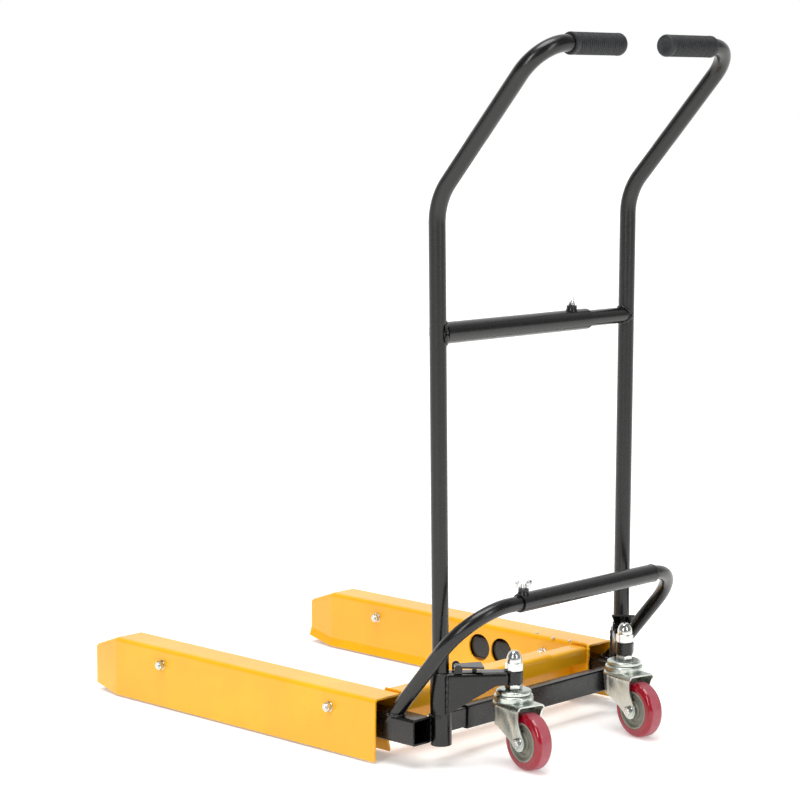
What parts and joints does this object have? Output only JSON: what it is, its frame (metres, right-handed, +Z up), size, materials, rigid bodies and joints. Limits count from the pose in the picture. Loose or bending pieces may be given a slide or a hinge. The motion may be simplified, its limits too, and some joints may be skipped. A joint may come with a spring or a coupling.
{
  "type": "wheel dolly",
  "caption": "Wheel dolly with two forks of adjustable spacing, a push frame with telescopic crossbars, a foot lever and swivel casters.",
  "frame": {"origin": "on the floor under the centre of the bounding box", "axes": "+Z up, forks point to -Y, +X is the operator's left"},
  "size_m": [0.5862, 0.92, 1.078],
  "materials": {
    "fork_enamel": "gloss enamel",
    "frame_enamel": "gloss enamel",
    "bright_zinc": "bright zinc plate",
    "zinc_sheet": "zinc-plated pressing",
    "red_polyurethane": "semi-gloss moulded",
    "hub_plastic": "satin moulded",
    "roller_nylon": "satin turned",
    "grip_rubber": "fine-ribbed moulded"
  },
  "bodies": {
    "left_fork": {"left_arm": "fork_enamel", "beam_outer": "fork_enamel", "left_pivot_bolt": "bright_zinc", "left_front_bolt": "bright_zinc", "left_stop_block": "fork_enamel", "left_roller_bracket": "zinc_sheet", "left_roller_axle": "bright_zinc"},
    "left_frame": {"left_side_tube": "frame_enamel", "left_pivot_bush": "bright_zinc", "left_sleeve": "frame_enamel", "left_gusset": "frame_enamel", "left_stem_collar": "frame_enamel", "left_upright": "frame_enamel", "left_grip": "grip_rubber", "left_caster_stem": "bright_zinc", "left_stem_nuts": "bright_zinc", "left_latch_hinge": "frame_enamel", "lower_bar_inner": "frame_enamel", "crossbar_outer": "frame_enamel", "pedal_tube_left": "frame_enamel"},
    "left_roller": {"left_roller": "roller_nylon"},
    "left_caster": {"left_caster_yoke": "zinc_sheet", "left_swivel_balls": "bright_zinc", "left_caster_axle": "bright_zinc"},
    "left_caster_wheel": {"left_wheel_hub": "hub_plastic", "left_wheel_bush": "bright_zinc", "left_wheel_tyre": "red_polyurethane"},
    "left_latch_tab": {"left_latch_tab": "frame_enamel"},
    "right_fork": {"right_arm": "fork_enamel", "beam_inner": "fork_enamel", "right_pivot_bolt": "bright_zinc", "right_front_bolt": "bright_zinc", "right_stop_block": "fork_enamel", "right_roller_bracket": "zinc_sheet", "right_roller_axle": "bright_zinc"},
    "right_frame": {"right_side_tube": "frame_enamel", "right_pivot_bush": "bright_zinc", "right_sleeve": "frame_enamel", "right_gusset": "frame_enamel", "right_stem_collar": "frame_enamel", "right_upright": "frame_enamel", "right_grip": "grip_rubber", "right_caster_stem": "bright_zinc", "right_stem_nuts": "bright_zinc", "right_latch_hinge": "frame_enamel", "lower_bar_outer": "frame_enamel", "crossbar_inner": "frame_enamel", "pedal_tube_right": "frame_enamel", "pedal_sleeve": "frame_enamel"},
    "right_roller": {"right_roller": "roller_nylon"},
    "right_caster": {"right_caster_yoke": "zinc_sheet", "right_swivel_balls": "bright_zinc", "right_caster_axle": "bright_zinc"},
    "right_caster_wheel": {"right_wheel_hub": "hub_plastic", "right_wheel_bush": "bright_zinc", "right_wheel_tyre": "red_polyurethane"},
    "right_latch_tab": {"right_latch_tab": "frame_enamel"},
    "handle_wing_screw": {"handle_wing_screw": "bright_zinc"},
    "pedal_wing_screw": {"pedal_wing_screw": "bright_zinc"}
  },
  "joints": [
    {"name": "width_adjust", "type": "slide", "parent": "left_fork", "child": "right_fork", "axis": [-1, 0, 0], "range_m": [-0.022, 0.08]},
    {"name": "frame_tilt", "type": "hinge", "parent": "left_fork", "child": "left_frame", "pos_m": [0.252, 0.093, 0.0715], "axis": [-1, 0, 0], "range_deg": [0, 6]},
    {"name": "left_roller_spin", "type": "hinge", "parent": "left_fork", "child": "left_roller", "pos_m": [0.252, -0.286, 0.028], "axis": [1, 0, 0], "continuous": true},
    {"name": "left_caster_swivel", "type": "hinge", "parent": "left_frame", "child": "left_caster", "pos_m": [0.133, 0.3306, 0.102], "axis": [0, 0, 1], "continuous": true},
    {"name": "left_caster_spin", "type": "hinge", "parent": "left_caster", "child": "left_caster_wheel", "pos_m": [0.1409, 0.36777, 0.043], "axis": [0.9781, -0.2079, 0], "continuous": true},
    {"name": "left_latch_turn", "type": "hinge", "parent": "left_frame", "child": "left_latch_tab", "pos_m": [0.19757, 0.27501, 0.149], "axis": [0.6525, 0.7578, 0], "range_deg": [0, 75]},
    {"name": "right_frame_tilt", "type": "hinge", "parent": "right_fork", "child": "right_frame", "pos_m": [-0.252, 0.093, 0.0715], "axis": [-1, 0, 0], "range_deg": [0, 6]},
    {"name": "right_roller_spin", "type": "hinge", "parent": "right_fork", "child": "right_roller", "pos_m": [-0.252, -0.286, 0.028], "axis": [1, 0, 0], "continuous": true},
    {"name": "right_caster_swivel", "type": "hinge", "parent": "right_frame", "child": "right_caster", "pos_m": [-0.133, 0.3306, 0.102], "axis": [0, 0, 1], "continuous": true},
    {"name": "right_caster_spin", "type": "hinge", "parent": "right_caster", "child": "right_caster_wheel", "pos_m": [-0.1251, 0.36777, 0.043], "axis": [0.9781, -0.2079, 0], "continuous": true},
    {"name": "right_latch_turn", "type": "hinge", "parent": "right_frame", "child": "right_latch_tab", "pos_m": [-0.19757, 0.27501, 0.149], "axis": [0.6525, -0.7578, 0], "range_deg": [-35, 40]},
    {"name": "handle_screw_turn", "type": "hinge", "parent": "left_frame", "child": "handle_wing_screw", "pos_m": [-0.085, 0.25235, 0.67], "axis": [0, 0, 1], "range_deg": [0, 720]},
    {"name": "pedal_screw_turn", "type": "hinge", "parent": "right_frame", "child": "pedal_wing_screw", "pos_m": [0.138, 0.351, 0.273], "axis": [0, 0, 1], "range_deg": [0, 720]}
  ],
  "couplings": [
    {"joint": "right_frame_tilt", "follows": "frame_tilt", "ratio": 1}
  ]
}
